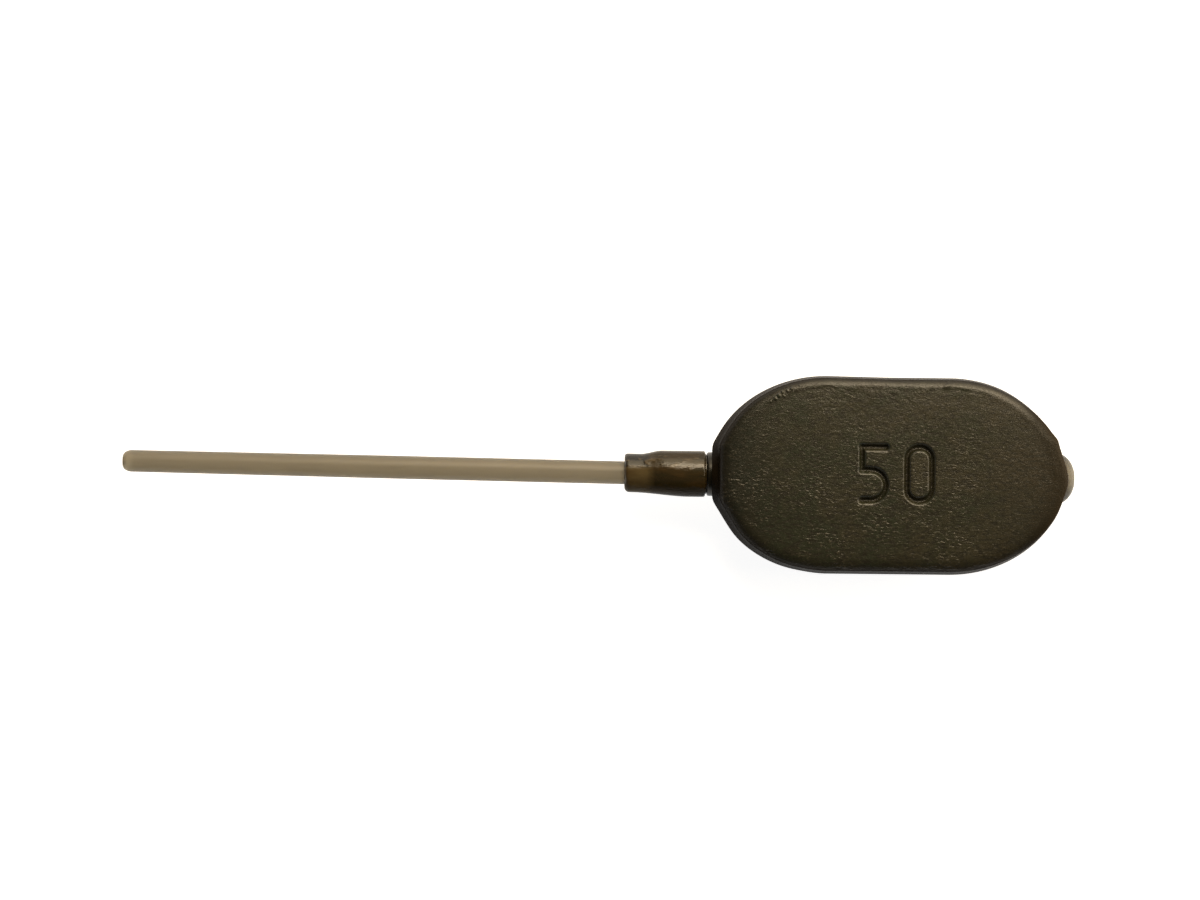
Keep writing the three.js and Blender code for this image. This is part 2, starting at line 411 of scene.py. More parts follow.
@dataclass(frozen=True)
class TanPlastic:
    """Smooth tan plastic that lets a little light through, with painted shade on its flanks and towards its
    tail, where it runs into the sleeve.
    """

    slot: str = "tan_plastic"
    shade: Shade = (104, 101, 90)
    pale: Shade = (115, 111, 101)
    # Painted shade: the tan is drawn grey and dark towards the flanks, away from the middle line.
    flank: Shade = (44, 44, 42)
    # Painted shade: the stem is drawn dark brown towards the tail, where it runs into the sleeve.
    sleeve_end_shade: Shade = (48, 39, 22)
    cloud: Cloud = Cloud(3.0, 2.0, 0.5, 4.0)
    skin: Cloud = Cloud(0.5, 1.0)
    skin_height: float = 0.004
    flank_shade_reach: Span = Span(0.9, 3.0)
    sleeve_end_shade_reach: Span = Span(-24.0, -22.0, 1.0, 0.0)

    def material(self) -> bpy.types.Material:
        """Builds the finish.

        Returns:
            The material.
        """
        recipe = Recipe(self.slot)
        colour = recipe.blend(recipe.noise(self.cloud), self.shade, self.pale)
        off_centre = recipe.math("ABSOLUTE", recipe.along("Y"))
        # Painted shade on the flanks.
        colour = recipe.blend(recipe.spread(off_centre, self.flank_shade_reach), colour, self.flank)
        # Painted shade towards the tail, where the stem runs into the sleeve.
        sleeve_end_shaded = recipe.spread(recipe.along("X"), self.sleeve_end_shade_reach)
        recipe.feed("Base Color", recipe.blend(sleeve_end_shaded, colour, self.sleeve_end_shade))
        recipe.set(Roughness=0.42, Specular_IOR_Level=0.2)
        recipe.set(Subsurface_Weight=0.3, Subsurface_Scale=0.0006)
        recipe.set(Subsurface_Radius=(1.0, 0.8, 0.55))
        recipe.relief([(recipe.noise(self.skin), self.skin_height)])
        return recipe.material


@dataclass(frozen=True)
class BrownRubber:
    """Glossy dark brown soft rubber, paler where it is thin over the tail tube, dull on its flanks."""

    slot: str = "brown_rubber"
    thick: Shade = (45, 38, 20)
    thin: Shade = (84, 72, 46)
    # Painted shade: the upper side of the narrow part, over the tube, is drawn darker.
    upper_shade_band: Shade = (28, 24, 12)
    shade: Shade = (62, 47, 24)
    # Pale scuffs, partly a painted highlight: kept to the upper side, they stand in for glints there.
    mark: Shade = (90, 76, 52)
    over_tube: Span = Span(-34.4, -33.2, 1.0, 0.0)
    upper_shade_reach: Span = Span(0.75, 1.1)
    streak: Cloud = Cloud(1.6, 3.0, 0.55, 2.5)
    streak_span: Span = Span(0.4, 0.75)
    streak_height: float = 0.04
    scuff: Cloud = Cloud(0.8, 3.0, 0.6, 2.2)
    scuff_glint_span: Span = Span(0.56, 0.66, 0.0, 0.6)
    scuff_glint_reach: Span = Span(0.3, 1.0)
    scuff_peaks: Span = Span(0.5, 0.7)
    scuff_height: float = 0.03
    lower_gloss: Span = Span(-1.5, -0.9, 0.05, 1.0)
    upper_gloss: Span = Span(1.5, 2.7, 0.5, 0.07)

    def material(self) -> bpy.types.Material:
        """Builds the finish.

        Returns:
            The material.
        """
        recipe = Recipe(self.slot)
        streaks, scuffs = recipe.noise(self.streak), recipe.noise(self.scuff)
        across = recipe.along("Y")
        over_tube = recipe.spread(recipe.along("X"), self.over_tube)
        colour = recipe.blend(over_tube, self.thick, self.thin)
        colour = recipe.blend(recipe.spread(streaks, self.streak_span), colour, self.shade)
        # Painted shade on the upper side of the narrow part.
        upper_shade_band = recipe.math("MULTIPLY", recipe.spread(across, self.upper_shade_reach), over_tube)
        colour = recipe.blend(upper_shade_band, colour, self.upper_shade_band)
        # Pale scuffs on the upper side, partly painted glints.
        scuff_glint_share = recipe.spread(scuffs, self.scuff_glint_span)
        scuff_glint_share = recipe.math("MULTIPLY", scuff_glint_share, recipe.spread(across, self.scuff_glint_reach))
        recipe.feed("Base Color", recipe.blend(scuff_glint_share, colour, self.mark))
        recipe.set(Roughness=0.2, Transmission_Weight=0.1, IOR=1.46)
        gloss = recipe.spread(across, self.lower_gloss)
        gloss = recipe.math("MULTIPLY", gloss, recipe.spread(across, self.upper_gloss))
        recipe.feed("Specular IOR Level", gloss)
        raised = recipe.spread(scuffs, self.scuff_peaks)
        recipe.relief([(streaks, self.streak_height), (raised, self.scuff_height)])
        return recipe.material


@dataclass(frozen=True)
class TanTubing:
    """Extruded tan tubing: milky, satin, with faint lines along its length."""

    slot: str = "tan_tubing"
    shade: Shade = (122, 113, 94)
    pale: Shade = (135, 126, 107)
    # Painted light: the tube's last two millimetres at the tail are drawn paler, as if lit from within.
    tip: Shade = (160, 150, 128)
    line: Cloud = Cloud(0.7, 2.0, 0.5, 40.0)
    line_height: float = 0.01
    cloud: Cloud = Cloud(9.0, 2.0)
    tip_glow_reach: Span = Span(-76.0, -74.2, 1.0, 0.0)

    def material(self) -> bpy.types.Material:
        """Builds the finish.

        Returns:
            The material.
        """
        recipe = Recipe(self.slot)
        lines = recipe.noise(self.line)
        share = recipe.math("MULTIPLY", recipe.math("ADD", lines, recipe.noise(self.cloud)), 0.5)
        colour = recipe.blend(share, self.shade, self.pale)
        # Painted light at the tube's tail end.
        tip_glow = recipe.spread(recipe.along("X"), self.tip_glow_reach)
        recipe.feed("Base Color", recipe.blend(tip_glow, colour, self.tip))
        recipe.set(Roughness=0.4, Specular_IOR_Level=0.4)
        recipe.set(Transmission_Weight=0.7, IOR=1.4)
        recipe.set(Subsurface_Weight=1.0, Subsurface_Scale=0.002)
        recipe.set(Subsurface_Radius=(1.0, 0.85, 0.6))
        recipe.relief([(lines, self.line_height)])
        return recipe.material


Finish = CoatedLead | OlivePlastic | TanPlastic | BrownRubber | TanTubing


def mesh_piece(name: str, points: np.ndarray, faces: list[tuple[int, ...]]) -> bpy.types.Object:
    """Makes a mesh object with shared corners, smooth faces and outward normals.

    Args:
        name: The piece's name.
        points: Its corners in millimetres, one row each.
        faces: The corners of each face.

    Returns:
        The object, linked to the scene.
    """
    mesh = bpy.data.meshes.new(name)
    mesh.from_pydata((points * MM).tolist(), [], faces)
    work = bmesh.new()
    work.from_mesh(mesh)
    bmesh.ops.remove_doubles(work, verts=work.verts, dist=WELD_DISTANCE)
    bmesh.ops.dissolve_degenerate(work, edges=work.edges, dist=WELD_DISTANCE)
    bmesh.ops.recalc_face_normals(work, faces=work.faces)
    work.to_mesh(mesh)
    work.free()
    mesh.shade_smooth()
    piece = bpy.data.objects.new(name, mesh)
    bpy.context.scene.collection.objects.link(piece)
    return piece


def crease(piece: bpy.types.Object, degrees: float = SHARP_ANGLE) -> None:
    """Keeps the edges sharp where two faces meet at more than this angle."""
    piece.data.set_sharp_from_angle(angle=math.radians(degrees))


def wound_faces(rows: int, columns: int, closed_rows: bool) -> list[tuple[int, ...]]:
    """Joins the corners of a grid whose columns run round and close on themselves.

    Args:
        rows: Number of rows of corners.
        columns: Corners in each row.
        closed_rows: Whether the last row joins the first.

    Returns:
        The corners of each face.
    """
    faces = []
    for i in range(rows if closed_rows else rows - 1):
        low, high = i * columns, (i + 1) % rows * columns
        for j in range(columns):
            k = (j + 1) % columns
            faces.append((low + j, low + k, high + k, high + j))
    return faces


def rounded(corners: list[tuple[float, float, float]], steps: int = 6, most: float = 0.8) -> np.ndarray:
    """Rounds the corners of a closed outline.

    Args:
        corners: Station, radius and rounding of each corner, in order.
        steps: Segments in each rounding.
        most: Share of a side that a rounding may take.

    Returns:
        The outline's points, station and radius in each row.
    """
    points = []
    count = len(corners)
    for i, (x, r, rounding) in enumerate(corners):
        here = Vector((x, r))
        if rounding == 0:
            points.append(here)
            continue
        before = Vector(corners[i - 1][:2]) - here
        after = Vector(corners[(i + 1) % count][:2]) - here
        half = before.angle(after) / 2
        reach = min(rounding / math.tan(half), before.length * most, after.length * most)
        start, end = here + before.normalized() * reach, here + after.normalized() * reach
        for k in range(steps + 1):
            t = k / steps
            points.append(start * (1 - t) ** 2 + here * 2 * t * (1 - t) + end * t ** 2)
    return np.array([tuple(p) for p in points])


def revolved(name: str, outline: np.ndarray, height: float, sides: int = 96) -> bpy.types.Object:
    """Revolves a closed outline about the stem's axis.

    Args:
        name: The piece's name.
        outline: Station and radius in each row.
        height: Height of the axis above the table.
        sides: Facets round the axis.

    Returns:
        The piece.
    """
    turn = np.linspace(0, 2 * math.pi, sides, endpoint=False)
    x = np.repeat(outline[:, :1], sides, axis=1)
    y = outline[:, 1:] * np.cos(turn)
    z = outline[:, 1:] * np.sin(turn) + height
    points = np.stack([x, y, z], axis=-1).reshape(-1, 3)
    return mesh_piece(name, points, wound_faces(len(outline), sides, True))


def dress(piece: bpy.types.Object, finish: Finish, body: str, node: str) -> None:
    """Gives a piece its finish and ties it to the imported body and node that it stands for.

    Args:
        piece: The piece.
        finish: What its surface is.
        body: The body that it moves with.
        node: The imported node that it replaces.
    """
    piece.data.materials.clear()
    piece.data.materials.append(finish.material())
    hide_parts(node)
    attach(piece, body)
    log.info("%s: %d faces, rides on %s", piece.name, len(piece.data.polygons), body)


class Digit(Enum):
    """The digits that stand in the lead's face."""

    FIVE = 5
    ZERO = 0


@dataclass
class SunkNumber:
    """The number 50, struck into the lead's face as grooves with rounded rims."""

    rim: float = 0.4
    wall: float = 0.1
    fillet: float = 0.18
    floor: float = 0.16
    slope: float = 1.6
    upright_thin: float = 0.2
    top: float = 4.08
    bottom: float = -3.45
    five_left: float = -3.82
    five_right: float = -0.46
    bowl_top: float = 0.84
    bowl_right: float = -0.42
    zero_left: float = 2.56
    zero_right: float = 6.09
    zero_low: float = 0.05
    zero_round: float = 0.94
    arc_steps: int = 14

    def arc(self, x: float, y: float, radius: float, start: float, end: float) -> list[Vector]:
        """Draws an arc.

        Args:
            x: The centre's place along X.
            y: The centre's place along Y.
            radius: The arc's radius.
            start: Where it starts, in quarter turns.
            end: Where it ends, in quarter turns.

        Returns:
            The points, in order.
        """
        turns = np.linspace(start * QUARTER, end * QUARTER, self.arc_steps)
        return [Vector((x + radius * math.cos(t), y + radius * math.sin(t))) for t in turns]

    def spine(self, digit: Digit) -> list[Vector]:
        """Draws the middle line of a digit's groove.

        Args:
            digit: The digit.

        Returns:
            The line's points, in order.
        """
        if digit is Digit.FIVE:
            radius = (self.bowl_top - self.bottom) / 2
            bowl_x = self.bowl_right - radius
            return [
                Vector((self.five_right, self.top)),
                Vector((self.five_left, self.top)),
                Vector((self.five_left, self.bowl_top)),
                *self.arc(bowl_x, self.bottom + radius, radius, 1, -1),
                Vector((self.five_left, self.bottom)),
            ]
        radius = (self.zero_right - self.zero_left) / 2 * self.zero_round
        left, right = self.zero_left + radius, self.zero_right - radius
        low, high = self.bottom - self.zero_low + radius, self.top - radius
        ring = [
            *self.arc(right, high, radius, 0, 1),
            *self.arc(left, high, radius, 1, 2),
            *self.arc(left, low, radius, 2, 3),
            *self.arc(right, low, radius, 3, 4),
        ]
        return ring + ring[:1]

    def depth_at(self, flat: np.ndarray) -> np.ndarray:
        """Finds how deep the face is sunk.

        Args:
            flat: Place of each corner along X and Y.

        Returns:
            The depth at each corner.
        """
        x, y = flat.T
        nearest = np.full(x.shape, np.inf)
        for digit in Digit:
            spine = self.spine(digit)
            for a, b in zip(spine, spine[1:]):
                run = b - a
                share = ((x - a.x) * run.x + (y - a.y) * run.y) / max(run.length_squared, TINY)
                share = np.clip(share, 0, 1)
                away = np.hypot(x - a.x - share * run.x, y - a.y - share * run.y)
                upright = abs(run.y) / max(run.length, TINY)
                nearest = np.minimum(nearest, away * (1 + self.upright_thin * upright ** 2))
        inward = self.rim + self.wall + self.fillet + self.floor / 2 - nearest
        rounding = np.clip(inward, 0, self.rim) ** 2 / (2 * self.rim)
        falling = np.clip(inward - self.rim, 0, self.wall + self.fillet)
        levelling = np.clip(inward - self.rim - self.wall, 0, self.fillet) ** 2 / (2 * self.fillet)
        return self.slope * (rounding + falling - levelling)


@dataclass(frozen=True)
class Lump:
    """A place where the plate's edge stands off the plain oval, as a rough casting's does."""

    ray: float
    spread: float
    height: float


@dataclass(frozen=True)
class Blemish:
    """A small nick, scratch or bead on the marked side: its middle, sizes, turn and height."""

    x: float
    y: float
    length: float
    width: float
    turn: float
    height: float


@dataclass(frozen=True)
class Bead:
    """A tiny round drop of lead that stands on the rim: its place and radius."""

    x: float
    y: float
    radius: float


@dataclass(frozen=True)
class Roughening:
    """An uneven layer of the casting's skin: its features' sizes, its depth and its own place."""

    along_x: float
    across: float
    depth: float
    offset: float = 0.0

    def at(self, x: float, y: float, z: float) -> float:
        """Returns the layer's height at a place, about -1 to 1."""
        return noise.noise(Vector((x / self.along_x, y / self.across, z / self.across + self.offset)))


@dataclass(frozen=True)
class Rim:
    """How the plate's wall turns into its marked face on one of its four sides."""

    lean: float
    width: float
    drop: float


@dataclass
class LeadWeight:
    """The cast lead plate: an oval with a nose pad, a sunk number and the stem's trough beneath."""

    space: Extent
    axis_height: float
    number: SunkNumber
    half_width: float = 14.05
    tail_widen: float = 0.15
    flank: float = 17.6
    tail_upper: float = 16.85
    tail_lower: float = 16.6
    nose_upper: float = 16.5
    nose_lower: float = 16.6
    upper_rim: Rim = Rim(0.25, 1.45, 1.15)
    lower_rim: Rim = Rim(0.4, 2.2, 1.3)
    nose_rim: Rim = Rim(0.1, 2.1, 0.55)
    tail_rim: Rim = Rim(0.9, 2.2, 1.3)
    crown: float = 0.4
    crown_reach: float = 1.02
    rim_fall: float = 0.06
    rim_fall_power: int = 9
    pad_radius: float = 4.5
    pad_shift: float = -0.25
    pad_back: float = 0.22
    pad_blend: float = 0.3
    trough_radius: float = 3.45
    recess_radius: float = 3.9
    recess_start: float = 23.9
    fine_from: float = -4.9
    fine_to: float = 7.2
    fine_height: float = 5.1
    fine_step: float = 0.063
    coarse_step: float = 0.14
    end_steps: int = 90
    round_steps: int = 11
    wall_steps: int = 3
    base_steps: int = 8
    nose_lumps: tuple[Lump, ...] = (Lump(40, 17, -0.2), Lump(20, 3.2, 0.2), Lump(-22, 8, 0.06))
    tail_lumps: tuple[Lump, ...] = (
        Lump(24, 9, -0.2), Lump(76, 9, -0.08), Lump(-14, 6, 0.06), Lump(12, 4.5, 0.2), Lump(-12, 4.5, 0.15),
    )
    tail_past: float = 0.12
    tail_blend: float = 0.12
    blemishes: tuple[Blemish, ...] = (
        Blemish(8.45, -0.5, 0.5, 0.14, -50, 0.09), Blemish(9.15, 0.05, 0.2, 0.12, 60, 0.08),
        Blemish(7.6, -2.4, 0.6, 0.12, 5, 0.05), Blemish(-8.0, 6.1, 0.5, 0.12, 15, 0.05),
        Blemish(12.4, 5.0, 0.4, 0.12, 20, 0.05), Blemish(-12.3, -4.2, 0.4, 0.12, 40, 0.05),
        Blemish(5.0, -11.8, 0.45, 0.14, -40, 0.09), Blemish(5.9, -12.3, 0.5, 0.14, -55, 0.07),
        Blemish(-5.0, 0.1, 0.8, 0.15, 20, 0.05), Blemish(8.2, 12.9, 0.7, 0.2, 10, 0.1),
        Blemish(10.6, 12.6, 0.9, 0.18, -14, 0.09),
    )
    bead_sink: float = 0.83
    bead_detail: int = 3
    beads: tuple[Bead, ...] = (
        Bead(-16.9, 10.4, 0.4), Bead(-16.2, 10.8, 0.6), Bead(-15.7, 11.2, 0.6), Bead(-15.2, 11.7, 0.45),
        Bead(-15.0, 11.2, 0.4), Bead(-14.5, 11.9, 0.5), Bead(-13.9, 12.2, 0.4), Bead(-12.8, 12.6, 0.35),
    )
    swell: Roughening = Roughening(6.0, 6.0, 0.03)
    peel: Roughening = Roughening(1.3, 0.8, 0.01, 9.0)
    grain: Roughening = Roughening(0.6, 0.25, 0.03, -5.0)
    rim_peel_depth: float = 0.024
    rim_peel_power: int = 3
    edge_swell_depth: float = 0.02
    plain_base: float = 0.5
    plain_middle: float = 10.0

    def outline(self) -> np.ndarray:
        """Draws the plate's outer edge.

        Returns:
            Its points, counter-clockwise from the nose end's lower corner.
        """
        turn = np.linspace(-QUARTER, QUARTER, self.end_steps, endpoint=False)
        across, up = np.cos(turn), np.sin(turn)
        semi = np.where(up > 0, self.nose_upper, self.nose_lower)
        ray, reach = self.polar(semi * across, self.half_width * up, self.nose_lumps)
        reach = self.with_pad(reach, ray)
        nose = np.stack([self.flank / 2 + reach * np.cos(ray), reach * np.sin(ray)], axis=1)
        semi = np.where(up > 0, self.tail_lower, self.tail_upper)
        ray, reach = self.polar(semi * across, self.half_width * up, self.tail_lumps)
        tail_x = -self.flank / 2 - reach * np.cos(ray)
        end = np.full_like(tail_x, self.space.low.x - self.tail_past)
        tail_x = self.soft_high(tail_x, end, self.tail_blend)
        tail = np.stack([tail_x, -reach * np.sin(ray)], axis=1)
        stations = self.graded((self.flank / 2, self.fine_to, self.fine_from, -self.flank / 2))[:-1]
        upper = np.stack([stations, np.full_like(stations, self.half_width)], axis=1)
        edge = np.concatenate([nose, upper, tail, -upper])
        widened = np.clip(-edge[:, 0] / (self.flank / 2), 0, 1) * (edge[:, 1] > 0)
        edge[:, 1] *= 1 + self.tail_widen / self.half_width * widened
        return edge

    def graded(self, stops: tuple[float, float, float, float]) -> np.ndarray:
        """Divides a run finely where the number is, and coarsely beyond.

        Args:
            stops: The run's two ends, with the fine stretch's two ends between them.

        Returns:
            The divisions, with both ends of the run.
        """
        parts = []
        for start, end, step in zip(stops, stops[1:], (self.coarse_step, self.fine_step, self.coarse_step)):
            count = max(1, round(abs(end - start) / step))
            parts.append(np.linspace(start, end, count, endpoint=False))
        return np.concatenate([*parts, [stops[-1]]])

    @staticmethod
    def polar(x: np.ndarray, y: np.ndarray, lumps: tuple[Lump, ...]) -> tuple[np.ndarray, np.ndarray]:
        """Turns an end's edge into rays from the end's centre, with the casting's lumps added.

        Args:
            x: Distance of each point ahead of the centre.
            y: Distance beside it.
            lumps: The lumps, with their rays and spreads in degrees.

        Returns:
            The rays in radians and the reach along each.
        """
        ray = np.arctan2(y, x)
        reach = np.hypot(x, y)
        for lump in lumps:
            reach = reach + lump.height * np.exp(-((np.degrees(ray) - lump.ray) / lump.spread) ** 2)
        return ray, reach

    @staticmethod
    def soft_high(first: np.ndarray, second: np.ndarray, softness: float) -> np.ndarray:
        """Returns the higher of two values, with the corner between them rounded."""
        return softness * np.logaddexp(first / softness, second / softness)

    def with_pad(self, reach: np.ndarray, ray: np.ndarray) -> np.ndarray:
        """Widens the nose end by its round pad.

        Args:
            reach: Distance of the plain oval's edge from the end's centre.
            ray: Its direction, in radians.

        Returns:
            The widened distance.
        """
        centre = self.space.high.x - self.pad_back - self.pad_radius - self.flank / 2
        beside = centre * np.sin(ray) - self.pad_shift * np.cos(ray)
        inside = self.pad_radius ** 2 - beside ** 2
        pad = centre * np.cos(ray) + self.pad_shift * np.sin(ray) + np.sqrt(np.clip(inside, 0, None))
        pad = np.where(inside > 0, pad, 0)
        return self.soft_high(reach, pad, self.pad_blend)

    def underside(self, flat: np.ndarray) -> np.ndarray:
        """Finds the lead's hidden side, with the trough and the nose's recess.

        Args:
            flat: Place of each corner along X and Y.

        Returns:
            The height at each corner.
        """
        x, y = flat.T
        radius = np.where(x > self.recess_start, self.recess_radius, self.trough_radius)
        arch = self.axis_height + np.sqrt(np.clip(radius ** 2 - y ** 2, 0, None))
        return np.maximum(self.space.low.z, arch)

    def face_height(self, flat: np.ndarray) -> np.ndarray:
        """Finds the marked side, which is slightly crowned and falls near its rim.

        Args:
            flat: Place of each corner along X and Y.

        Returns:
            The height at each corner.
        """
        inset = self.upper_rim.lean + self.upper_rim.width
        ahead = np.clip(np.abs(flat[:, 0]) - self.flank / 2, 0, None) / (self.nose_upper - inset)
        share = np.minimum(np.hypot(ahead, flat[:, 1] / (self.half_width - inset)), self.crown_reach)
        return self.space.high.z - self.crown * share ** 2 - self.rim_fall * share ** self.rim_fall_power

    def rim_at(self, outward: np.ndarray) -> np.ndarray:
        """Blends the rims of the four sides.

        Args:
            outward: The outward direction at each point of the edge.

        Returns:
            The rim's lean, width and drop at each point.
        """
        across, up = outward[:, :1], outward[:, 1:]
        ends = np.where(across > 0, astuple(self.nose_rim), astuple(self.tail_rim))
        sides = np.where(up > 0, astuple(self.upper_rim), astuple(self.lower_rim))
        return ends * across ** 2 + sides * up ** 2

    def build(self) -> bpy.types.Object:
        """Builds the plate.

        Returns:
            The piece.
        """
        edge = self.outline()
        ahead, behind = np.roll(edge, -1, axis=0), np.roll(edge, 1, axis=0)
        run = ahead - behind
        outward = np.stack([run[:, 1], -run[:, 0]], axis=1)
        outward /= np.linalg.norm(outward, axis=1, keepdims=True)
        low = self.underside(edge)
        rows = []
        spine = np.stack([np.clip(edge[:, 0], -self.flank / 2, self.flank / 2), 0 * low], axis=1)
        for share in np.linspace(0, 1, self.base_steps, endpoint=False):
            flat = spine + (edge - spine) * share
            rows.append(np.column_stack([flat, self.underside(flat)]))
        lean, width, drop = self.rim_at(outward).T
        shoulder_z = self.face_height(edge - outward * (lean + width)[:, None]) - drop
        for share in np.linspace(0, 1, self.wall_steps, endpoint=False):
            flat = edge - outward * (lean * share)[:, None]
            rows.append(np.column_stack([flat, low + (shoulder_z - low) * share]))
        for turn in np.linspace(0, QUARTER, self.round_steps):
            inset = lean + width * (1 - math.cos(turn))
            flat = edge - outward * inset[:, None]
            rows.append(np.column_stack([flat, shoulder_z + drop * math.sin(turn)]))
        rim = rows[-1][:, :2]
        reach = self.half_width - self.upper_rim.lean - self.upper_rim.width
        for share in self.graded((reach, self.fine_height, 0, 0))[1:-1] / reach:
            flat = spine + (rim - spine) * share
            rows.append(np.column_stack([flat, self.face_height(flat)]))
        points = np.concatenate(rows)
        marked = len(edge) * (self.base_steps + self.wall_steps)
        flat = points[marked:, :2]
        points[marked:, 2] -= self.number.depth_at(flat)
        points[marked:, 2] += self.blemished(flat)
        points = self.weathered(points)
        piece = mesh_piece("lead_plate", points, wound_faces(len(rows), len(edge), False))
        self.add_beads(piece, points[marked:])
        crease(piece)
        return piece

    def add_beads(self, piece: bpy.types.Object, surface: np.ndarray) -> None:
        """Adds the drops of lead to the plate's mesh.

        Args:
            piece: The plate.
            surface: The corners of its marked side.
        """
        work = bmesh.new()
        work.from_mesh(piece.data)
        for bead in self.beads:
            nearest = np.argmin(np.hypot(surface[:, 0] - bead.x, surface[:, 1] - bead.y))
            middle = Vector((bead.x, bead.y, surface[nearest, 2] - bead.radius * self.bead_sink))
            place = Matrix.Translation(middle * MM)
            size = bead.radius * MM
            bmesh.ops.create_icosphere(work, subdivisions=self.bead_detail, radius=size, matrix=place)
        work.to_mesh(piece.data)
        work.free()
        piece.data.shade_smooth()

    def blemished(self, flat: np.ndarray) -> np.ndarray:
        """Finds how far the blemishes raise the marked side.

        Args:
            flat: Place of each corner along X and Y.

        Returns:
            The rise at each corner.
        """
        x, y = flat.T
        rise = np.zeros_like(x)
        for mark in self.blemishes:
            turn = math.radians(mark.turn)
            along = (x - mark.x) * math.cos(turn) + (y - mark.y) * math.sin(turn)
            beside = (y - mark.y) * math.cos(turn) - (x - mark.x) * math.sin(turn)
            rise += mark.height * np.exp(-(along / mark.length) ** 2 - (beside / mark.width) ** 2)
        return rise

    def weathered(self, points: np.ndarray) -> np.ndarray:
        """Lowers the surface a little, unevenly, as a casting's is.

        Args:
            points: The plate's corners.

        Returns:
            The corners, moved by a few hundredths of a millimetre.
        """
        moved = points.copy()
        top = self.space.high.z
        for i, (x, y, z) in enumerate(points):
            if z < self.space.low.z + self.plain_base:
                continue
            swell = self.swell.at(x, y, z)
            if z > top - self.crown - self.rim_fall - self.lower_rim.drop:
                rim = min(1.0, (top - z) / (self.crown + self.rim_fall)) ** self.rim_peel_power
                peel_depth = self.peel.depth + self.rim_peel_depth * rim
                drop = self.swell.depth * (1 + swell) + peel_depth * (1 + self.peel.at(x, y, z))
                moved[i, 2] = min(z, top) - drop - self.grain.depth * abs(self.grain.at(x, y, z))
            reach = math.hypot(x, y)
            if reach > self.plain_middle:
                moved[i, :2] *= 1 - self.edge_swell_depth * (1 + swell) / reach
        return moved

    def place(self) -> None:
        """Builds the plate and dresses it."""
        dress(self.build(), CoatedLead(), "feeder", "lead_weight")


@dataclass
class BaitFrame:
    """The moulded frame that holds the groundbait, with its edges softened as a moulding's are."""

    voxel: float = 0.17
    smoothing: int = 5
    smoothing_share: float = 0.5
    kept_share: float = 0.35

    def build(self) -> bpy.types.Object:
        """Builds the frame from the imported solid, with its corners and roots rounded.

        Returns:
            The piece.
        """
        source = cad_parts["bait_frame"]
        piece = bpy.data.objects.new("bait_cage", source.data.copy())
        bpy.context.scene.collection.objects.link(piece)
        skin = piece.modifiers.new("skin", "REMESH")
        skin.mode = "VOXEL"
        skin.voxel_size = self.voxel * MM
        soften = piece.modifiers.new("soften", "SMOOTH")
        soften.factor = self.smoothing_share
        soften.iterations = self.smoothing
        thin = piece.modifiers.new("thin", "DECIMATE")
        thin.ratio = self.kept_share
        graph = bpy.context.evaluated_depsgraph_get()
        mesh = bpy.data.meshes.new_from_object(piece.evaluated_get(graph))
        piece.modifiers.clear()
        piece.data = mesh
        mesh.shade_smooth()
        return piece

    def place(self) -> None:
        """Builds the frame and dresses it."""
        dress(self.build(), OlivePlastic(), "feeder", "bait_frame")


@dataclass
class Stem:
    """The hollow stem: a domed nose, a plain shank and a barbed spigot."""

    space: Extent
    shank: float = 2.15
    bore: float = 0.8
    nose_back: float = 24.2
    nose_rim: float = 0.15
    land: float = 0.35
    point: float = 1.4
    point_radius: float = 1.65
    barb_pitch: float = 1.8
    barb_depth: float = 0.25
    barbs: int = 3
    dome_steps: int = 20
    nose_shift: float = -0.15
    nose_margin: float = 0.05
    edge_round: float = 0.1
    point_round: float = 0.2
    barb_round: float = 0.06
    barb_root: float = 0.05
    nose_round: float = 0.12
    land_round: float = 0.15
    sharp_angle: float = 40.0

    def outline(self) -> np.ndarray:
        """Draws the stem's section.

        Returns:
            Station and radius in each row.
        """
        tail, tip = self.space.low.x, self.space.high.x
        nose = (self.space.high.y - self.space.low.y) / 2
        corners = [(tail, self.bore, self.edge_round), (tail, self.point_radius, self.point_round)]
        for i in range(self.barbs):
            edge = tail + self.point + i * self.barb_pitch
            back = edge + self.barb_depth
            corners += [
                (edge, self.shank, self.barb_round),
                (back, self.shank, self.barb_round),
                (back, self.shank - self.barb_depth, self.barb_root),
            ]
        corners += [
            (tail + self.point + self.barbs * self.barb_pitch, self.shank, self.edge_round),
            (self.nose_back, self.shank, self.edge_round),
            (self.nose_back, nose, self.nose_round),
        ]
        back = self.nose_back + self.nose_rim
        last = math.acos((self.bore + self.land) / nose)
        for turn in np.linspace(0, last, self.dome_steps):
            along = (tip - back) * math.sin(turn) / math.sin(last)
            corners.append((back + along, nose * math.cos(turn), 0.0))
        corners.append((tip, self.bore, self.land_round))
        return rounded(corners)

    def place(self) -> None:
        """Builds the stem and dresses it."""
        piece = revolved("hollow_stem", self.outline(), self.space.axis_height)
        for vertex in piece.data.vertices:
            if vertex.co.x > (self.nose_back - self.nose_margin) * MM:
                vertex.co.y += self.nose_shift * MM
        crease(piece, self.sharp_angle)
        dress(piece, TanPlastic(), "stem", "stem")


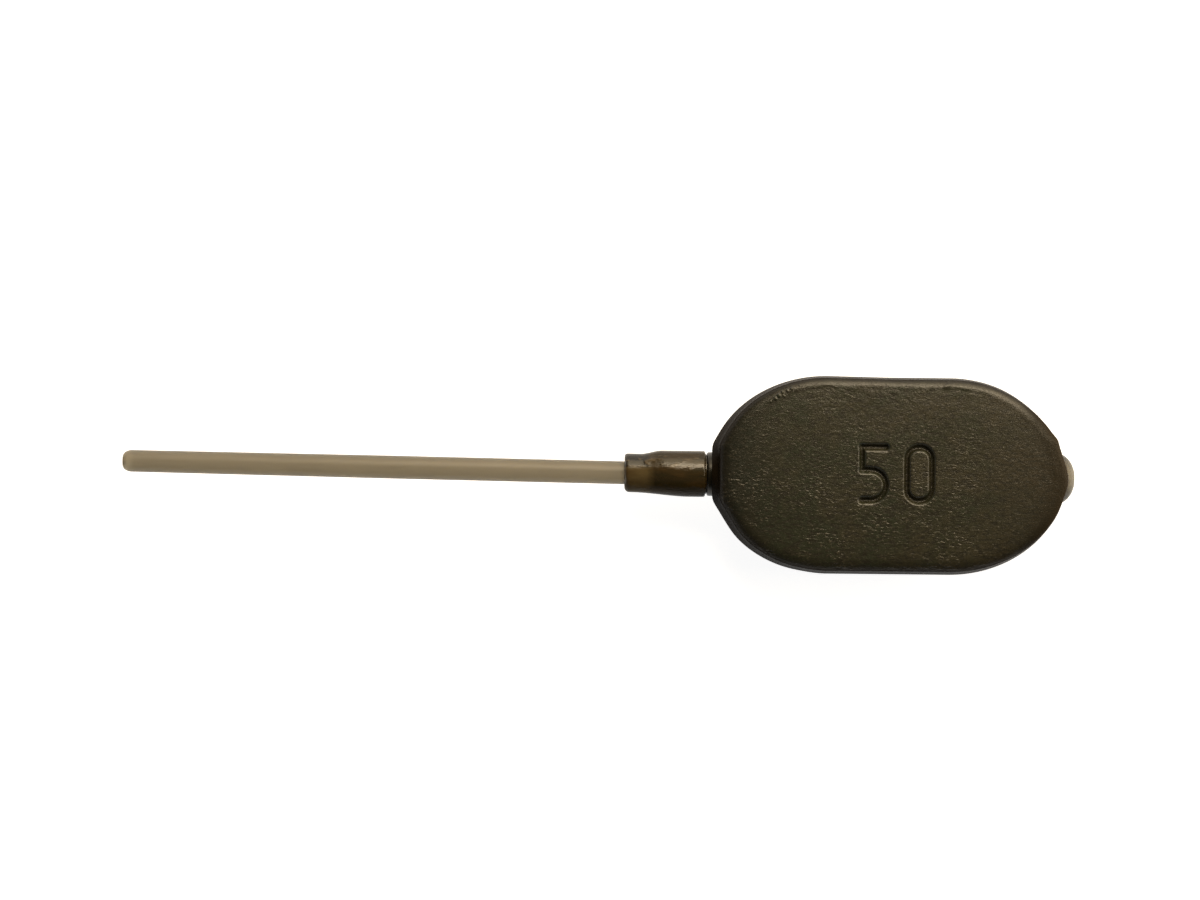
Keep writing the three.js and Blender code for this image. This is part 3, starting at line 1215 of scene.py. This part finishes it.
@dataclass
class TailSleeve:
    """The soft sleeve, wide over the spigot and narrow round the tube, whose lean pulls it askew."""

    space: Extent
    narrow: float = 2.78
    wide_bore: float = 2.22
    narrow_bore: float = 1.72
    bore_step: float = -31.8
    upper_step: tuple[float, float] = (-35.3, -32.2)
    lower_step: tuple[float, float] = (-36.3, -28.1)
    upper_round: float = 0.5
    lower_round: float = 0.85
    step_steps: int = 14
    sides: int = 96
    askew: float = 0.06
    seat: float = 0.1
    lip: float = 0.16
    lip_radius: float = 2.85
    lip_round: float = 0.05
    mouth_round: float = 0.12
    front_round: float = 0.65
    edge_round: float = 0.1
    bore_slope: float = 1.4

    def outline(self, step: tuple[float, float], rounding: float) -> np.ndarray:
        """Draws a section of the sleeve.

        Args:
            step: The stations where the outer side starts to widen and where it is full.
            rounding: How round the corner at the tube's end is.

        Returns:
            Station and radius in each row.
        """
        tail, front = self.space.low.x, self.space.high.x + self.seat
        wide = (self.space.high.y - self.space.low.y) / 2
        corners = [(tail, self.narrow_bore, self.edge_round), (tail, self.narrow, rounding)]
        for share in np.linspace(0, 1, self.step_steps):
            rise = share ** 2 * (3 - 2 * share)
            station = step[0] + (step[1] - step[0]) * share
            corners.append((station, self.narrow + (wide - self.narrow) * rise, 0.0))
        corners += [
            (front, wide, self.front_round),
            (front, self.lip_radius, self.lip_round),
            (front + self.lip, self.lip_radius, self.lip_round),
            (front + self.lip, self.wide_bore, self.mouth_round),
            (self.bore_step, self.wide_bore, self.edge_round),
            (self.bore_step - self.bore_slope, self.narrow_bore, self.edge_round),
        ]
        return rounded(corners)

    def build(self) -> bpy.types.Object:
        """Builds the sleeve, with its step short on the upper side and long on the lower.

        Returns:
            The piece.
        """
        upper = self.outline(self.upper_step, self.upper_round)
        lower = self.outline(self.lower_step, self.lower_round)
        turn = np.linspace(0, 2 * math.pi, self.sides, endpoint=False)
        share = (0.5 + 0.5 * np.cos(turn))[None, :, None]
        section = upper[:, None, :] * share + lower[:, None, :] * (1 - share)
        x, radius = section[..., 0], section[..., 1]
        lean = np.clip((self.bore_step - x) / (self.bore_step - self.space.low.x), 0, 1)
        y = radius * np.cos(turn) + self.askew * lean
        z = radius * np.sin(turn) + self.space.axis_height
        points = np.stack([x, y, z], axis=-1).reshape(-1, 3)
        piece = mesh_piece("tail_rubber", points, wound_faces(len(upper), self.sides, True))
        crease(piece)
        return piece

    def place(self) -> None:
        """Builds the sleeve and dresses it."""
        dress(self.build(), BrownRubber(), "sleeve", "tail_sleeve")


@dataclass
class TailTube:
    """The long tail tube, which leans with the soft sleeve that holds it, open at both ends."""

    space: Extent
    diameter: float = 3.3
    end_diameter: float = 3.12
    bore: float = 1.2
    tip_length: float = 1.3
    tip_steps: int = 12
    front: float = -33.5
    length: float = 75.98
    tail_depth: float = 0.5
    front_depth: float = 1.5
    closed_radius: float = 0.001
    edge_round: float = 0.1
    mouth_round: float = 0.04
    mouth_width: float = 0.06
    lean: float = math.radians(0.8)

    def place(self) -> None:
        """Builds the tube and dresses it."""
        radius, bore, end = self.diameter / 2, self.bore / 2, self.end_diameter / 2
        corners = [
            (-self.length + self.tail_depth, self.closed_radius, 0.0),
            (-self.length + self.tail_depth, bore, self.edge_round),
            (-self.length, bore, self.mouth_round),
        ]
        mouth = bore + self.mouth_width
        for turn in np.linspace(0, QUARTER, self.tip_steps):
            station = -self.length + self.tip_length * (1 - math.cos(turn))
            corners.append((station, mouth + (end - mouth) * math.sin(turn), 0.0))
        corners += [
            (-self.length / 2, radius, 0.0),
            (0.0, radius, self.edge_round),
            (0.0, bore, self.edge_round),
            (-self.front_depth, bore, self.edge_round),
            (-self.front_depth, self.closed_radius, 0.0),
        ]
        piece = revolved("line_tube", rounded(corners), 0.0)
        piece.rotation_euler.z = -self.lean
        piece.location = Vector((self.front, 0, self.space.axis_height)) * MM
        crease(piece)
        dress(piece, TanTubing(), "tube", "tail_tube")


@dataclass(frozen=True)
class Lamp:
    """A flat soft lamp that faces the feeder; its place and sizes are in metres."""

    name: str
    place: tuple[float, float, float]
    width: float
    height: float
    power: float
    colour: tuple[float, float, float] = (1.0, 0.83, 0.6)

    def hang(self) -> None:
        """Adds the lamp to the scene."""
        data = bpy.data.lights.new(self.name, "AREA")
        data.shape = "RECTANGLE"
        data.size = self.width
        data.size_y = self.height
        data.energy = self.power
        data.color = self.colour
        lamp = bpy.data.objects.new(self.name, data)
        lamp.location = self.place
        lamp.rotation_euler = Vector(self.place).to_track_quat("Z", "Y").to_euler()
        bpy.context.scene.collection.objects.link(lamp)


@dataclass
class Studio:
    """A pale table, soft lamps and a camera that looks straight down, as in the photograph."""

    pixels_per_mm: float = 7.0
    picture_width: int = 1200
    lens: float = 135.0
    sensor: float = 36.0
    near: float = 0.01
    aim_x: float = -41.11
    aim_y: float = 3.28
    aim_z: float = 8.2
    roll: float = math.radians(0.59)
    lamps: tuple[Lamp, ...] = (
        Lamp("window", (0.11, 0.36, 0.43), 0.4, 0.16, 1.6),
        Lamp("window_glow", (0.18, 0.5, 0.39), 0.8, 0.63, 5.5, (1.0, 0.82, 0.56)),
        Lamp("side", (0.5, 0.1, 0.3), 0.3, 0.3, 1.4),
    )
    ambient: float = 0.05
    table_size: float = 6.0
    table_gap: float = 0.02
    table_colour: tuple[float, float, float, float] = (0.74, 0.74, 0.74, 1.0)
    table_glow: float = 0.92
    walls: Span = Span(0.1, 0.35, 1.0, 0.0)

    def camera(self) -> None:
        """Sets the camera above the feeder at the photograph's scale."""
        data = bpy.data.cameras.new("overhead")
        data.lens = self.lens
        data.sensor_width = self.sensor
        data.clip_start = self.near
        distance = self.picture_width / self.pixels_per_mm * self.lens / self.sensor
        camera = bpy.data.objects.new("overhead", data)
        camera.location = Vector((self.aim_x, self.aim_y, self.aim_z + distance)) * MM
        camera.rotation_euler.z = self.roll
        bpy.context.scene.collection.objects.link(camera)
        bpy.context.scene.camera = camera

    def table(self) -> None:
        """Lays a pale table under the feeder, which keeps the feeder's shadow."""
        bpy.ops.mesh.primitive_plane_add(size=self.table_size, location=(0, 0, -self.table_gap * MM))
        table = bpy.context.object
        table.name = "table"
        recipe = Recipe("pale_table")
        recipe.set(Base_Color=self.table_colour, Roughness=0.9, Specular_IOR_Level=0.1)
        recipe.set(Emission_Color=WHITE)
        recipe.feed("Emission Strength", recipe.math("MULTIPLY", recipe.white_rays(), self.table_glow))
        table.data.materials.append(recipe.material)

    def world(self) -> None:
        """Fills the room with plain dim light and shows its walls as white, under a dim ceiling."""
        world = bpy.data.worlds.new("room")
        bpy.context.scene.world = world
        world.use_nodes = True
        room = Graph(world.node_tree)
        white = room.white_rays(room.spread(room.coordinate("Generated", "Z"), self.walls))
        strength = room.spread(white, Span(0.0, 1.0, self.ambient, 1.0))
        back = room.nodes["Background"]
        back.inputs["Color"].default_value = WHITE
        room.links.new(strength, back.inputs["Strength"])

    def place(self) -> None:
        """Sets up the whole studio."""
        self.camera()
        for lamp in self.lamps:
            lamp.hang()
        self.table()
        self.world()
        bpy.context.scene.view_settings.view_transform = "Standard"


def main() -> None:
    """Builds the studio and the five pieces of the feeder."""
    logging.basicConfig(level=logging.INFO, format="%(name)s %(message)s")
    Studio().place()
    stem = Extent.of("stem")
    LeadWeight(Extent.of("lead_weight"), stem.axis_height, SunkNumber()).place()
    BaitFrame().place()
    Stem(stem).place()
    TailSleeve(Extent.of("tail_sleeve")).place()
    TailTube(Extent.of("tail_tube")).place()
    bpy.context.view_layer.update()


if __name__ == "__main__":
    main()
